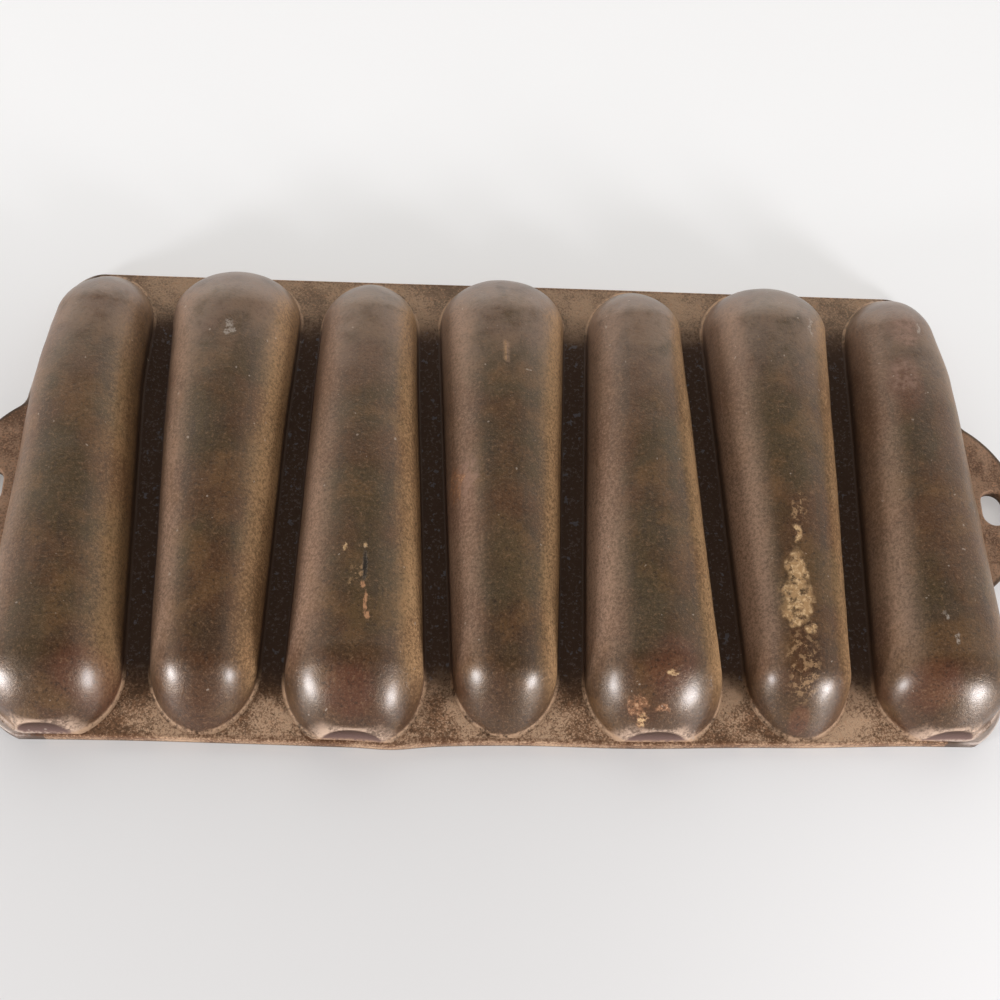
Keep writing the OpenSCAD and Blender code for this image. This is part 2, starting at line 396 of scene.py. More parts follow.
def back_rings():
    """Rings of the back from the rim plane up: the foot, its fillet onto the plate and the back itself."""
    sunk, lift = 0.35 * MM, 0.02 * MM
    below = plate_t - sunk
    rings = [back_ring(0.0, 0.0), back_ring(below, below), back_ring(below, below, foot_round)]
    for i in range(6):
        a = math.pi / 2 * i / 5
        z = plate_t + lift + foot_round * (1 - math.cos(a))
        rings.append(back_ring(z, z, foot_round * (1 - math.sin(a))))
    low = foot_round + lift
    for i in range(1, 15):
        z = plate_t + mix(low, end_scoop_h, i / 14)
        rings.append(back_ring(z, z - tip_drop * (z - plate_t) / (pan_h - plate_t)))
    first = math.asin(end_scoop_h / (pan_h - plate_t))
    for i in range(1, 25):
        rise = math.sin(mix(first, math.pi / 2, i / 24))
        rings.append(back_ring(mix(plate_t, pan_h, rise), mix(plate_t, pan_h - tip_drop, rise)))
    return rings


def cavity_rings():
    stations = side_stations(24, 128, 16)
    levels = 36
    return [closed_ring([cavity_point(s, j / levels) for s in stations]) for j in range(levels + 1)]


def ring_object(name, rings):
    return mesh_object(name, [p for ring in rings for p in ring], skin(rings))


def uneven(piece, low, high):
    """The slightly uneven skin of a hand-made casting, on the back only."""
    group = piece.vertex_groups.new(name="skin")
    for vertex in piece.data.vertices:
        weight = ease(low, high, vertex.co.z)
        if weight > 0:
            group.add([vertex.index], weight, "REPLACE")
    for name, size, strength in (("hollows", 22 * MM, 0.5 * MM), ("ripples", 6 * MM, 0.12 * MM)):
        cloud = bpy.data.textures.new(name, "CLOUDS")
        cloud.noise_scale = size
        cloud.noise_depth = 1
        apply_modifier(piece, "DISPLACE", texture=cloud, texture_coords="GLOBAL", strength=strength,
                       mid_level=0.5, vertex_group="skin")


def store(piece, name, values):
    """Stores one value per point, for the material."""
    layer = piece.data.attributes.new(name, "FLOAT", "POINT")
    layer.data.foreach_set("value", values)


def copy_of(source):
    piece = source.copy()
    piece.data = source.data.copy()
    bpy.context.scene.collection.objects.link(piece)
    return piece


def wear(shell, left, right):
    """Stores where a mould gets sand and painted sheen on its shoulders, soot and painted shade low down, or
    a worn pale seam, from each point's place and normal.
    """
    marks = {"shoulder": [], "gold": [], "soot": [], "seam": []}
    for vertex in shell.data.vertices:
        y, z = (vertex.co / MM).yz
        across = vertex.normal.x
        ends = ease(70, 56, abs(y))
        side = right * ease(0.40, 0.97, across)
        if across < 0:
            side = left * ease(0.25, 0.8, -across) * ease(-66, -42, y) * (0.75 + 0.25 * ease(30, -20, y))
        marks["shoulder"].append(side * ends * ease(5, 9, z))
        marks["gold"].append(ease(-0.2, 0.3, across))
        marks["soot"].append(ease(9.5, 4.5, z) * ease(61, 53, abs(y)))
        marks["seam"].append(ease(5.1, 4.5, z) * ease(50, 58, abs(y)) if z > 3.5 else 0.0)
    for name, values in marks.items():
        store(shell, name, values)


def mould(k, back, cavity):
    """One mould: the back and the cavity are joined, and the rim land is bridged between their open edges."""
    shell, inside = copy_of(back), copy_of(cavity)
    # The hollow is where the stem end is cut away, and the ridge along it is worn and painted with a
    # highlight, most at its two sides
    over = [trim(k, *p.co)[1] / MM for p in shell.data.vertices]
    store(shell, "hollow", [ease(0.0, 0.35, value) for value in over])
    reach = [0.7 + 2.6 * min(1.0, (p.co.x / (8 * MM)) ** 2) for p in shell.data.vertices]
    store(shell, "ridge", [ease(-r, 0.0, value) * ease(0.45, 0.05, value) for r, value in zip(reach, over)])
    for part in (shell, inside):
        for vertex in part.data.vertices:
            x, y, z = vertex.co
            vertex.co = (*set_down(k, x, y, z), z)
    uneven(shell, plate_t + 1.5 * MM, plate_t + 6 * MM)
    pick(shell)
    inside.select_set(True)
    bpy.ops.object.join()
    shell.name = "mould_%d" % k
    edit(shell,
         (bpy.ops.mesh.remove_doubles, {"threshold": 0.005 * MM}),
         (bpy.ops.mesh.select_non_manifold, {"extend": False}),
         (bpy.ops.mesh.bridge_edge_loops, {}),
         (bpy.ops.mesh.select_all, {"action": "SELECT"}),
         (bpy.ops.mesh.normals_make_consistent, {"inside": False}))
    wear(shell, *SHOULDER_SAND_AND_SHEEN.get(k, (1.0, 1.0)))
    pick(shell)
    bpy.ops.object.shade_smooth_by_angle(angle=math.radians(38))
    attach(shell, "root")
    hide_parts("cob_mould_%d" % k)
    return shell


# The plate: six webs and two ears

def foot_line(k, side):
    """Foot of mould k at the plate, on its left (-1) or right (1) side, from the near end to the far end."""
    turn = 1 if k % 2 else -1
    line = [back_point(s, 0.0, 0.0, 0)[:2] for s in BACK_STATIONS]
    line = [set_down(k, side * turn * x, y) for x, y in line]
    return line if turn > 0 else list(reversed(line))


def rim_line(x_from, x_to, side):
    """The rim's long edge between two places along the pan."""
    n = max(2, round(abs(x_to - x_from) / (1.5 * MM)))
    places = [mix(x_from, x_to, i / n) for i in range(n + 1)]
    return [(x, side * (half_w + rim_edge(x, side))) for x in places]


def slab(name, outline, low, high):
    """A closed slab between two heights, extruded from its outline."""
    piece = mesh_object(name, [(x, y, low) for x, y in outline], [tuple(reversed(range(len(outline))))])
    edit(piece, (bpy.ops.mesh.extrude_region_move, {"TRANSFORM_OT_translate": {"value": (0, 0, high - low)}}),
         (bpy.ops.mesh.select_all, {"action": "SELECT"}),
         (bpy.ops.mesh.normals_make_consistent, {"inside": False}))
    return piece


def round_over(piece, z, width, segments, wanted):
    """Rounds the edges at a height that satisfy a test."""
    select_edges(piece, lambda a, b: abs(a.z - z) < EPS and abs(b.z - z) < EPS and wanted(a) and wanted(b))
    edit(piece, (bpy.ops.mesh.bevel, {"offset": width, "offset_type": "OFFSET", "segments": segments,
                                      "affect": "EDGES", "clamp_overlap": False}), whole=False)


def finish_plate_piece(piece, node):
    pick(piece)
    bpy.ops.object.shade_smooth_by_angle(angle=math.radians(38))
    for polygon in piece.data.polygons:
        if len(polygon.vertices) > 8:
            polygon.use_smooth = False
    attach(piece, "root")
    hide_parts(node)
    return piece


def web(k):
    """The web between moulds k and k + 1, with its strips of rim in front of both moulds' ends."""
    a, b = mould_x(k), mould_x(k + 1)
    outline = rim_line(a, b, -1) + foot_line(k + 1, -1) + rim_line(b, a, 1) + list(reversed(foot_line(k, 1)))
    piece = slab("web_piece_%d" % k, outline, 0, plate_t)

    def on_rim(p):
        side = 1 if p.y > 0 else -1
        return abs(abs(p.y) - half_w - rim_edge(p.x, side)) < 0.02 * MM

    round_over(piece, plate_t, rim_round, 4, on_rim)
    round_over(piece, 0, under_round, 2, on_rim)
    return finish_plate_piece(piece, "web_%d" % k)


def arc(cx, cy, r, start, end, n):
    """Points along an arc between two angles in degrees."""
    steps = [math.radians(mix(start, end, i / n)) for i in range(n + 1)]
    return [(cx + r * math.cos(a), cy + r * math.sin(a)) for a in steps]


def lip_drawn_in(side, end, y):
    """How far a corner of an end lip is drawn in, in mm: the four corners differ."""
    y = y / MM
    if side < 0:
        return (1.7 if end > 0 else 1.0) * ease(-56, -64, y)
    if end < 0:
        return 3.2 * ease(42, 60, y)
    return 1.9 * ease(44, 58, y) * (1 - 0.5 * ease(62, 72, y))


def lip_line(side, end):
    """Outer edge of an end lip, drawn at the right end, from the near edge (side -1) or to the far edge."""
    x0 = mould_x(7)
    if side < 0:
        half, reach, y0, power = stem_half + stem_lip, stem_reach + stem_lip, -stem_y, 2.0
    else:
        reach = half_w + rim_edge(end * x0, side) - tip_y
        half, y0, power = tip_half + tip_lip, tip_y, lip_power
    line = []
    for i in range(25):
        a = math.pi / 2 * i / 24
        x = x0 + half * math.cos(a) ** (2 / power)
        y = y0 + side * reach * math.sin(a) ** (2 / power)
        x -= lip_drawn_in(side, end, y) * MM * (x - x0) / half
        limit = half_w + rim_edge(end * x, side)
        line.append((x, max(-limit, min(limit, y))))
    return line if side > 0 else list(reversed(line))


def ear_outline(end):
    """Outline of an end, drawn at the right: near edge, lip, ear and far edge, without the mould's foot."""
    x0 = mould_x(7)
    near, far = lip_line(-1, end), lip_line(1, end)
    ear_x = x0 + ear_out
    corners = []
    # Each fillet's centre lies a share of the way from the lip's near width to its far width
    for side, share in ((-1, 0.22), (1, 0.72)):
        cx = x0 + mix(stem_half + stem_lip, tip_half + tip_lip, share) + ear_fillet
        cy = math.sqrt((ear_r + ear_fillet) ** 2 - (cx - ear_x) ** 2)
        meet = math.degrees(math.atan2(cy, cx - ear_x))
        corner = [(x, side * y) for x, y in arc(cx, cy, ear_fillet, 180 + meet, 180, 8)]
        corners.append((meet, corner if side > 0 else list(reversed(corner))))
    ear = arc(ear_x, 0, ear_r, -corners[0][0], corners[1][0], 56)
    return near + corners[0][1] + ear[1:-1] + corners[1][1] + far


def cut(piece, cutter):
    apply_modifier(piece, "BOOLEAN", operation="DIFFERENCE", object=cutter, solver="EXACT")
    bpy.data.objects.remove(cutter)


def ear(side):
    """An end lip with its hanging ear: side 1 is the right one, and side -1 its mirror."""
    outline = ear_outline(side)
    if side > 0:
        outline += reversed(foot_line(7, 1))
    else:
        outline = [(-x, y) for x, y in reversed(outline)] + foot_line(1, -1)
    name = "right" if side > 0 else "left"
    piece = slab("ear_piece_" + name, outline, 0, plate_t)
    foot = {(round(x, 6), round(y, 6)) for x, y in foot_line(7 if side > 0 else 1, side)}

    def outer(p):
        return (round(p.x, 6), round(p.y, 6)) not in foot

    round_over(piece, plate_t, rim_round, 4, outer)
    round_over(piece, 0, under_round, 2, outer)
    slot_x = side * (mould_x(7) + ear_out + ear_r - slot_edge - slot_w / 2)
    run = (slot_l - slot_w) / 2
    hole = arc(slot_x, run, slot_w / 2, 0, 180, 20) + arc(slot_x, -run, slot_w / 2, 180, 360, 20)
    cut(piece, slab("slot_core", hole, -MM, plate_t + MM))
    reach = slot_l / 2 + 0.5 * MM

    def round_slot(p):
        return abs(p.x - slot_x) < slot_w / 2 + EPS and abs(p.y) < reach

    round_over(piece, plate_t, slot_round, 3, round_slot)
    round_over(piece, 0, under_round, 2, round_slot)
    return finish_plate_piece(piece, "ear_" + name)


# Materials

# Colours by name, in linear light
COLOURS = {
    "reddish brown": (0.066, 0.026, 0.009),
    "greenish brown": (0.048, 0.029, 0.010),
    "mottling": (0.112, 0.053, 0.021),
    "dark brush lines": (0.030, 0.017, 0.009),
    "near ends": (0.060, 0.022, 0.011),
    "golden blotches": (0.130, 0.064, 0.020),
    "reddened": (0.110, 0.034, 0.018),
    "greened": (0.046, 0.037, 0.018),
    "painted far sheen": (0.265, 0.185, 0.145),
    "pits of the backs": (0.020, 0.010, 0.006),
    "tops of the peel": (0.190, 0.102, 0.052),
    "fine grain": (0.190, 0.115, 0.070),
    "pinkish sand and painted sheen": (0.345, 0.215, 0.148),
    "golden sand and painted sheen": (0.450, 0.265, 0.130),
    "soot": (0.060, 0.031, 0.020),
    "hollow": (0.038, 0.016, 0.012),
    "painted reflection on the floor of the hollow": (0.165, 0.100, 0.090),
    "worn ridge and painted highlight": (0.560, 0.395, 0.290),
    "bare seam": (0.430, 0.270, 0.165),
    "bare seam and painted sheen at the ends": (0.430, 0.345, 0.295),
    "blush": (0.290, 0.170, 0.125),
    "flecks": (0.400, 0.240, 0.120),
    "rust": (0.270, 0.120, 0.058),
    "light rust": (0.520, 0.300, 0.165),
    "residue": (0.420, 0.250, 0.115),
    "light residue": (0.640, 0.430, 0.230),
    "drips": (0.440, 0.220, 0.110),
    "scuffs": (0.400, 0.350, 0.300),
    "crack": (0.004, 0.003, 0.003),
    "dust": (0.420, 0.340, 0.270),
    "gleam of the backs": (1.0, 0.76, 0.54),
    "brown of the plate": (0.170, 0.086, 0.045),
    "tan of the plate": (0.280, 0.170, 0.105),
    "pale speckle": (0.560, 0.370, 0.235),
    "pale speckle of the ears": (0.480, 0.300, 0.190),
    "brown of the ears": (0.105, 0.052, 0.032),
    "dusty far strip": (0.300, 0.215, 0.150),
    "dark streaks": (0.150, 0.105, 0.072),
    "rusty speckle": (0.400, 0.180, 0.085),
    "pits of the plate": (0.050, 0.024, 0.013),
    "smooth near edge": (0.190, 0.135, 0.108),
    "light brush lines": (0.400, 0.250, 0.165),
    "dark rim of the ears": (0.040, 0.028, 0.022),
    "worn lips and painted sheen": (0.480, 0.400, 0.350),
    "reddish edge": (0.110, 0.042, 0.020),
    "painted shade at the foot of the edge": (0.035, 0.020, 0.013),
    "shade of the channels": (0.060, 0.032, 0.018),
    "soot and painted shade of the channels": (0.064, 0.037, 0.026),
    "grey soot": (0.160, 0.130, 0.125),
    "painted bluish glints on the soot": (0.150, 0.155, 0.175),
    "gleam of the plate": (1.0, 0.74, 0.50),
    "table in painted shade, near left": (0.48, 0.456, 0.436),
    "table in painted light, near right": (0.79, 0.766, 0.752),
    "table in painted light, behind": (1.01, 1.0, 0.99),
    "table that lights the pan": (0.80, 0.79, 0.78),
    "table as seen": (0.93, 0.92, 0.915),
    "studio white": (1, 0.985, 0.965),
    "lamp": (0.94, 0.95, 1.0),
}

COAT_ROUGHNESS = 0.29


def rgba(colour):
    """A named colour as a socket takes it; a link stays as it is."""
    return (*COLOURS[colour], 1) if isinstance(colour, str) else colour


class Socket:
    """A shader value with arithmetic: every operator adds a Math node."""

    def __init__(self, tree, out):
        self.tree, self.out = tree, out

    def math(self, operation, first, second=None):
        node = self.tree.nodes.new("ShaderNodeMath")
        node.operation = operation
        for i, value in enumerate((first, second)):
            if isinstance(value, Socket):
                self.tree.links.new(value.out, node.inputs[i])
            elif value is not None:
                node.inputs[i].default_value = value
        return Socket(self.tree, node.outputs[0])

    def __add__(self, other):
        return self.math("ADD", self, other)

    def __radd__(self, other):
        return self.math("ADD", other, self)

    def __sub__(self, other):
        return self.math("SUBTRACT", self, other)

    def __rsub__(self, other):
        return self.math("SUBTRACT", other, self)

    def __mul__(self, other):
        return self.math("MULTIPLY", self, other)

    def __rmul__(self, other):
        return self.math("MULTIPLY", other, self)

    def __pow__(self, other):
        return self.math("POWER", self, other)

    def __abs__(self):
        return self.math("ABSOLUTE", self)


class Nodes:
    """A node tree being built, and the calls that add nodes to it."""

    def __init__(self, tree):
        self.tree = tree

    def add(self, kind, settings=None, inputs=None):
        node = self.tree.nodes.new(kind)
        for key, value in (settings or {}).items():
            setattr(node, key, value)
        for key, value in (inputs or {}).items():
            self.feed(node.inputs[key], value)
        return node

    def feed(self, target, value):
        if isinstance(value, Socket):
            self.tree.links.new(value.out, target)
        elif isinstance(value, bpy.types.NodeSocket):
            self.tree.links.new(value, target)
        else:
            target.default_value = value

    def value(self, node, output=0):
        return Socket(self.tree, node.outputs[output])

    def ramp(self, value, low, high, at_low=0.0, at_high=1.0):
        """Goes smoothly from one number to another while a value goes from low to high."""
        return self.value(self.add("ShaderNodeMapRange", {"interpolation_type": "SMOOTHSTEP"}, {
            "Value": value, "From Min": low, "From Max": high, "To Min": at_low, "To Max": at_high}))


class Finish(Nodes):
    """A material being built."""

    def __init__(self, name):
        self.material = bpy.data.materials.new(name)
        self.material.use_nodes = True
        super().__init__(self.material.node_tree)
        self.shader = self.tree.nodes["Principled BSDF"]
        self.place = self.add("ShaderNodeTexCoord").outputs["Object"]

    def noise(self, scale, detail=2.0, roughness=0.5, stretch=None):
        place = self.place
        if stretch:
            place = self.add("ShaderNodeMapping", inputs={"Vector": place, "Scale": stretch}).outputs[0]
        return self.value(self.add("ShaderNodeTexNoise", inputs={
            "Vector": place, "Scale": scale, "Detail": detail, "Roughness": roughness}))

    def blend(self, mask, a, b):
        """Goes from one colour to another: sockets 6 and 7 are a Mix node's two colours."""
        node = self.add("ShaderNodeMix", {"data_type": "RGBA"}, {0: mask, 6: rgba(a), 7: rgba(b)})
        return node.outputs[2]

    def paint(self, mask, colour):
        """Lays a colour, named or linked, over what the base colour is so far."""
        self.colour = self.blend(mask, self.colour, colour)

    def vector(self, operation, first, second):
        """Arithmetic on places, by a Vector Math node."""
        return self.add("ShaderNodeVectorMath", {"operation": operation}, {0: first, 1: second}).outputs[0]

    def mark(self, name):
        """A value stored on the mesh."""
        return self.value(self.add("ShaderNodeAttribute", {"attribute_name": name}), "Fac")

    def axes(self):
        node = self.add("ShaderNodeSeparateXYZ", inputs={0: self.place})
        return [self.value(node, axis) for axis in ("X", "Y", "Z")]

    def ragged(self, scale, reach):
        """The place, shaken by noise, so that a spot drawn with it gets a ragged edge."""
        shake = self.add("ShaderNodeTexNoise", inputs={"Vector": self.place, "Scale": scale, "Detail": 4.0})
        centred = self.vector("SUBTRACT", shake.outputs["Color"], (0.5, 0.5, 0.5))
        return self.vector("ADD", self.place, self.vector("MULTIPLY", centred, (reach, reach, reach)))

    def spots(self, place, marks):
        """A mask that is 1 inside any of some ellipses seen from above; places and half sizes in mm."""
        nearest = None
        for x, y, rx, ry in marks:
            away = self.vector("SUBTRACT", place, (x * MM, y * MM, 0))
            scaled = self.vector("MULTIPLY", away, (1 / (rx * MM), 1 / (ry * MM), 0))
            length = self.add("ShaderNodeVectorMath", {"operation": "LENGTH"}, {0: scaled})
            far = self.value(length, "Value")
            nearest = far if nearest is None else far.math("MINIMUM", far, nearest)
        return 1 - self.ramp(nearest, 0.6, 1.15)

    def bump(self, height, distance):
        inputs = {"Height": height, "Distance": distance, "Strength": 1.0}
        return self.add("ShaderNodeBump", inputs=inputs).outputs[0]

    def finish(self, roughness, normal, coat=None):
        self.feed(self.shader.inputs["Base Color"], self.colour)
        self.feed(self.shader.inputs["Roughness"], roughness)
        self.feed(self.shader.inputs["Normal"], normal)
        if coat is not None:
            self.feed(self.shader.inputs["Coat Weight"], coat)
            self.shader.inputs["Coat Roughness"].default_value = COAT_ROUGHNESS
        return self.material


# Marks of use on the backs, by kind: place and half sizes in mm
RESIDUE = [(81.8, -38.5, 4.4, 7.5), (80.4, -43.5, 3.0, 3.2), (82.4, -30.0, 3.2, 6.4),
           (83.6, -18.5, 1.2, 3.6), (79.6, -36.0, 1.6, 2.6), (84.6, -47.0, 1.6, 1.6)]
CRUMBS = [(44.7, -60.7, 1.8, 0.9), (37.1, -71.6, 1.3, 1.5), (-40.0, -25.2, 0.6, 0.9),
          (-45.6, -25.5, 0.7, 1.4)]
FLECKS = [(82.0, -57.0, 5.0, 10.0), (84.5, -10.0, 2.6, 5.0), (-41.5, -34.0, 3.0, 4.0)]
DRIPS = [(-39.5, -42.5, 0.6, 4.0), (-40.3, -37.0, 0.7, 1.2), (-38.7, -46.0, 0.9, 1.2)]
RUST = [(35.4, -68.3, 3.2, 2.4), (36.8, -71.4, 1.5, 2.2), (42.4, -69.4, 2.2, 1.1),
        (-14.5, -2.0, 2.0, 6.0)]
CRACKS = [(-39.9, -31.2, 0.7, 4.6)]
SCUFFS = [(-82.6, 44.5, 1.3, 3.2), (129.4, 53.0, 0.6, 2.2), (122.7, -43.0, 0.7, 1.8),
          (124.9, -50.2, 0.7, 2.0), (94.5, 52.0, 0.5, 3.5)]
BLUSHES = [(125.0, 52.0, 4.5, 6.5), (122.0, 36.0, 4.5, 6.5), (-11.0, -1.0, 3.0, 7.0)]
REDDENED = [(124.5, 54.0, 6.0, 8.0), (122.5, 33.0, 6.0, 11.0), (82.0, -70.0, 3.2, 3.4),
            (-114.0, -62.0, 9.0, 8.0), (-43.5, -66.0, 8.0, 7.0), (44.0, -58.0, 8.0, 9.0),
            (-14.0, -8.0, 5.0, 12.0), (118.0, -62.0, 9.0, 7.0)]
GREENED = [(-130.0, -52.0, 6.5, 17.0), (38.0, -45.0, 6.0, 14.0), (-2.0, -30.0, 8.0, 16.0)]


def mould_finish():
    """Seasoned iron of the backs: polished dark brown, sandy with painted sheen on the shoulders, painted
    shade low down and in the hollows, and the marks of use.
    """
    f = Finish("seasoned_mould_iron")
    f.shader.inputs["Specular Tint"].default_value = rgba("gleam of the backs")
    x, y, z = f.axes()
    clouds = f.noise(42, 3, 0.55)
    brushed = f.noise(170, 3, 0.6, (1, 0.2, 1))
    mottle = f.noise(150, 3, 0.6)
    peel = f.noise(1050, 3, 0.65)
    grain = f.noise(2400, 1, 0.5)
    inside = f.mark("inside")
    outside = 1 - inside
    f.colour = f.blend(f.ramp(clouds, 0.38, 0.60), "reddish brown", "greenish brown")
    f.paint(f.ramp(mottle, 0.48, 0.75) * 0.6, "mottling")
    f.paint(f.ramp(brushed, 0.52, 0.34) * 0.6, "dark brush lines")
    f.paint(f.ramp(y, -38 * MM, -70 * MM) * 0.5, "near ends")
    f.paint(f.ramp(f.noise(75, 2, 0.5), 0.50, 0.66) * 0.4, "golden blotches")
    f.paint(f.spots(f.place, REDDENED) * 0.5 * outside, "reddened")
    f.paint(f.spots(f.place, GREENED) * 0.45 * outside, "greened")
    # Painted sheen: the far half of the backs is painted lighter, as where the bright far side is reflected
    f.paint(f.ramp(y, 20 * MM, 64 * MM) * f.ramp(mottle, 0.20, 0.55) * 0.48 * outside, "painted far sheen")
    f.paint(f.ramp(peel, 0.50, 0.28) * (0.8 - 0.45 * f.ramp(y, 0, 50 * MM)), "pits of the backs")
    f.paint(f.ramp(peel, 0.54, 0.74) * 0.6, "tops of the peel")
    f.paint(f.ramp(grain, 0.50, 0.70) * 0.25, "fine grain")
    # The shoulders get sand and painted sheen: pinkish where they face left, golden where they face right
    # towards the brighter side
    shoulder, gold = f.mark("shoulder"), f.mark("gold")
    sand = f.blend(gold, "pinkish sand and painted sheen", "golden sand and painted sheen")
    sprinkle = f.ramp(peel + 0.5 * (grain - 0.5) + 0.4 * (clouds - 0.5), 0.32, 0.68)
    sprinkle = (0.45 - 0.10 * gold) + (0.55 + 0.10 * gold) * sprinkle
    f.paint(shoulder * sprinkle * 0.85 * outside, sand)
    # Low on the flanks beside the channels the backs are painted dark: soot, and painted shade of the deep
    # channels
    soot = f.mark("soot")
    f.paint(soot * 0.9, "soot")
    ridge, hollow, seam = f.mark("ridge"), f.mark("hollow"), f.mark("seam")
    # Painted shade in the cut-away hollow under the ridge, and a lighter painted reflection on its lower part
    f.paint(hollow * 0.9, "hollow")
    f.paint(hollow * f.ramp(z, 9.5 * MM, 4.2 * MM) * 0.75, "painted reflection on the floor of the hollow")
    # The ridge is worn pale and also carries a painted highlight
    worn = ridge * (0.2 + 0.8 * f.ramp(peel + mottle, 0.80, 1.15))
    f.paint(worn * 0.9, "worn ridge and painted highlight")
    bare = seam * f.ramp(peel + mottle, 0.70, 1.10) * (1 - soot)
    f.paint(bare * 0.8, "bare seam")
    # At the pan's ends the seam is paler: bare iron and a painted sheen
    f.paint(bare * f.ramp(abs(x), 118 * MM, 128 * MM) * 0.8, "bare seam and painted sheen at the ends")
    torn = f.ragged(360, 5.0 * MM)
    fine = f.ragged(1500, 1.2 * MM)
    bits = f.noise(800, 3, 0.65)
    flakes = f.noise(480, 4, 0.7)
    f.paint(f.spots(torn, BLUSHES) * f.ramp(flakes, 0.36, 0.60) * 0.5 * outside, "blush")
    f.paint(f.spots(torn, FLECKS) * f.ramp(flakes, 0.50, 0.58) * 0.6 * outside, "flecks")
    rust = f.spots(torn, RUST) * outside * (1 - hollow)
    f.paint(rust * f.ramp(bits, 0.36, 0.56) * 0.75, "rust")
    f.paint(rust * f.ramp(bits, 0.53, 0.64) * 0.65, "light rust")
    residue = f.spots(torn, RESIDUE) * f.ramp(flakes, 0.34, 0.52) * outside
    crumbs = f.spots(fine, CRUMBS) * f.ramp(bits, 0.38, 0.54) * 0.85 * outside
    residue = residue.math("MAXIMUM", residue, crumbs)
    residue = residue * (1 - hollow)
    f.paint(residue * 0.8, "residue")
    f.paint(residue * f.ramp(bits, 0.46, 0.66) * 0.85, "light residue")
    smears = f.noise(1100, 2, 0.6, (1, 0.35, 1))
    f.paint(f.spots(fine, DRIPS) * f.ramp(smears, 0.36, 0.50) * 0.9 * outside, "drips")
    f.paint(f.spots(torn, SCUFFS) * f.ramp(peel, 0.34, 0.6) * 0.6 * outside, "scuffs")
    crack = f.spots(fine, CRACKS) * outside
    f.paint(crack, "crack")
    f.paint(f.ramp(f.noise(560, 1, 0.4), 0.775, 0.795) * 0.45 * outside, "dust")
    dull = shoulder + worn + seam + residue + hollow
    rough = 0.40 + 0.2 * dull + 0.22 * (peel - 0.5) + 0.4 * soot - 0.08 * inside
    ripple = f.noise(330, 2, 0.5)
    height = 0.12 * peel + 0.04 * grain + 0.10 * ripple + 0.12 * residue - 0.5 * crack
    oiled = 0.32 + 0.24 * f.ramp(y, -46 * MM, -60 * MM)
    return f.finish(rough, f.bump(height, MM), oiled * (1 - dull))


def plate_finish(name, channel):
    """Dull sandy iron of the plate: channels of soot and painted shade, and speckled triangles, or the
    browner ears.
    """
    f = Finish(name)
    f.shader.inputs["Specular Tint"].default_value = rgba("gleam of the plate")
    x, y, z = f.axes()
    clouds = f.noise(60, 3, 0.6)
    streaks = f.noise(260, 3, 0.6, (0.35, 1, 1))
    grain = f.noise(1900, 2, 0.6)
    pits = f.noise(1150, 3, 0.65)
    f.colour = f.blend(f.ramp(clouds, 0.35, 0.65), "brown of the plate", "tan of the plate")
    light, pale, pitted = 0.85, "pale speckle", 0.65
    if not channel:
        f.paint(0.8, "brown of the ears")
        light, pale, pitted = 0.40, "pale speckle of the ears", 0.4
    far = f.ramp(y, 50 * MM, 64 * MM)
    f.paint(far * 0.5, "dusty far strip")
    f.paint(far * f.ramp(streaks, 0.54, 0.36) * 0.6, "dark streaks")
    f.paint(f.ramp(grain + 0.9 * (clouds - 0.5), 0.38, 0.60) * (light - 0.35 * far), pale)
    f.paint(f.ramp(grain + pits, 1.10, 1.22) * 0.35, "rusty speckle")
    f.paint(f.ramp(pits + 0.6 * (clouds - 0.5), 0.46, 0.34) * (pitted - 0.3 * far), "pits of the plate")
    if not channel:
        smooth = f.ramp(y, -72.5 * MM, -73.5 * MM) * f.ramp(abs(abs(x) - 129 * MM), 12 * MM, 9 * MM)
        f.paint(smooth * 0.85, "smooth near edge")
        brushed = f.noise(280, 3, 0.6, (1, 0.3, 1))
        f.paint(f.ramp(brushed, 0.52, 0.68) * 0.4, "light brush lines")
        out_x = abs(x) - mould_x(7) - ear_out
        from_middle = (out_x * out_x + y * y) ** 0.5
        f.paint(f.ramp(from_middle, ear_r - 1.5 * MM, ear_r - 0.5 * MM) * 0.85, "dark rim of the ears")
        # The end lips are worn pale and carry a painted sheen, fullest on their tops
        lips = f.ramp(y, 26 * MM, 36 * MM) + f.ramp(y, -46 * MM, -54 * MM)
        above = f.ramp(z, 2.4 * MM, 3.6 * MM)
        worn = 0.9 * above + 0.4 * (1 - above) * f.ramp(grain + brushed, 0.92, 1.12)
        f.paint(lips * f.ramp(abs(x), 128 * MM, 134 * MM) * worn, "worn lips and painted sheen")
    edge = f.ramp(abs(y), half_w - 0.9 * MM, half_w - 0.2 * MM) * f.ramp(z, 1.5 * MM, 3.0 * MM)
    f.paint(edge * 0.6 * f.ramp(pits, 0.62, 0.42), "reddish edge")
    # Painted shade along the bottom of the rim's side, where it meets the table
    f.paint(f.ramp(z, 1.8 * MM, 0.2 * MM) * 0.75, "painted shade at the foot of the edge")
    rough = 0.62 + 0.2 * (grain - 0.5)
    if channel:
        depth = abs(y) + 9 * MM * (clouds - 0.5) + 7 * MM * (pits - 0.5)
        f.paint(f.ramp(depth, 68 * MM, 58 * MM) * 0.5, "shade of the channels")
        # Between the moulds the web is soot and painted shade, away from the triangles at the ends
        sooty = f.ramp(depth, 62 * MM, 53 * MM)
        f.paint(sooty * 0.97, "soot and painted shade of the channels")
        f.paint(sooty * f.ramp(pits, 0.54, 0.66) * 0.6, "grey soot")
        # Painted bluish glints on the soot
        f.paint(sooty * f.ramp(f.noise(440, 2, 0.6), 0.63, 0.69) * 0.6, "painted bluish glints on the soot")
        rough = rough + 0.3 * sooty
    return f.finish(rough, f.bump(0.16 * pits + 0.05 * grain, MM))


def give(piece, material):
    piece.data.materials.clear()
    piece.data.materials.append(material)


# Table, light and camera

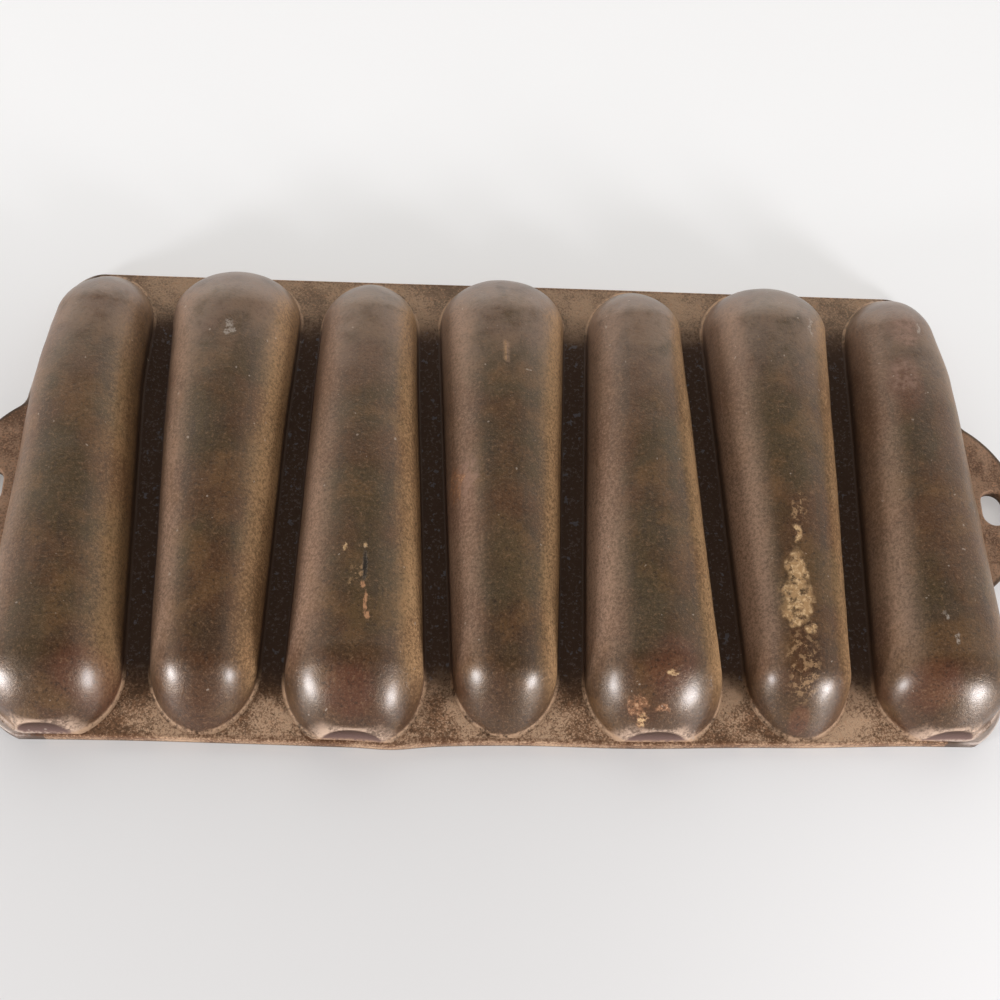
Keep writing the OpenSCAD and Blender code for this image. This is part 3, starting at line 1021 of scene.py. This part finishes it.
def stage():
    bpy.ops.mesh.primitive_plane_add(size=8, location=(0, 0, 0))
    floor = bpy.context.active_object
    floor.name = "table"
    f = Finish("table_white")
    x, y = f.axes()[:2]
    # The table glows for camera and glossy rays in a painted gradient: painted shade at the near left,
    # painted light at the near right and behind
    away = f.ramp(y, -0.05, 0.15)
    lit = f.ramp(x, -0.03, 0.17)
    near = f.blend(lit, "table in painted shade, near left", "table in painted light, near right")
    painted_light_tone = f.blend(away, near, "table in painted light, behind")
    ray = f.add("ShaderNodeLightPath")
    seen = f.value(ray, "Is Camera Ray") + f.value(ray, "Is Glossy Ray")
    f.feed(f.shader.inputs["Base Color"], f.blend(seen, "table that lights the pan", "table as seen"))
    f.shader.inputs["Roughness"].default_value = 0.55
    glow = f.add("ShaderNodeEmission", inputs={"Color": painted_light_tone, "Strength": 1.08})
    shown = f.add("ShaderNodeMixShader", inputs={0: seen * 0.4, 1: f.shader.outputs[0], 2: glow.outputs[0]})
    f.feed(f.tree.nodes["Material Output"].inputs["Surface"], shown.outputs[0])
    give(floor, f.material)


def softbox(name, place, target, size, power):
    bpy.ops.object.light_add(type="AREA", location=place)
    lamp = bpy.context.active_object
    lamp.name = name
    lamp.data.shape = "RECTANGLE"
    lamp.data.size, lamp.data.size_y = size
    lamp.data.energy = power
    lamp.data.color = COLOURS["lamp"]
    lamp.rotation_mode = "QUATERNION"
    lamp.rotation_quaternion = (Vector(target) - Vector(place)).to_track_quat("-Z", "Y")


def lights():
    softbox("left_box", (-0.80, -0.50, 0.19), (0, 0, 0.02), (0.20, 0.20), 7.4)
    softbox("right_box", (0.62, -0.58, 0.22), (0, 0, 0.02), (0.19, 0.19), 6.6)
    world = bpy.data.worlds.new("studio")
    bpy.context.scene.world = world
    world.use_nodes = True
    sky = Nodes(world.node_tree)
    direction = sky.add("ShaderNodeTexCoord").outputs["Generated"]
    axes = sky.add("ShaderNodeSeparateXYZ", inputs={0: direction}).outputs
    wall_light = sky.ramp(axes["Y"], -0.6, 0.2, 0.35, 0.8) * sky.ramp(axes["Y"], 0.3, 0.9, 1.0, 2.8)
    ceiling_light = sky.ramp(axes["Z"], 0.68, 0.90, 1.0, 0.12)
    background = sky.tree.nodes["Background"]
    sky.feed(background.inputs["Color"], rgba("studio white"))
    sky.feed(background.inputs["Strength"], wall_light * ceiling_light)


def camera():
    """The photograph's view: from the near side, a little to the left, with the camera tipped."""
    place = Vector((-27.96, -183.95, 388.14)) * MM
    aim = Vector((-0.62, 0.75, 0)) * MM
    data = bpy.data.cameras.new("camera")
    data.lens = 51.12
    data.sensor_width = 36
    data.clip_start = 0.01
    view = bpy.data.objects.new("camera", data)
    bpy.context.scene.collection.objects.link(view)
    view.location = place
    view.rotation_mode = "QUATERNION"
    tipped = Quaternion((0, 0, 1), math.radians(8.9))
    view.rotation_quaternion = (aim - place).to_track_quat("-Z", "Y") @ tipped
    bpy.context.scene.camera = view


back = ring_object("back", back_rings())
cavity = ring_object("cavity", cavity_rings())
store(cavity, "inside", [1.0] * len(cavity.data.vertices))
mould_iron = mould_finish()
web_iron = plate_finish("sandy_web_iron", True)
ear_iron = plate_finish("sandy_ear_iron", False)
for k in range(1, 8):
    give(mould(k, back, cavity), mould_iron)
for source in (back, cavity):
    bpy.data.objects.remove(source)
for k in range(1, 7):
    give(web(k), web_iron)
for side in (-1, 1):
    give(ear(side), ear_iron)
stage()
lights()
camera()
bpy.context.scene.view_settings.view_transform = "Standard"
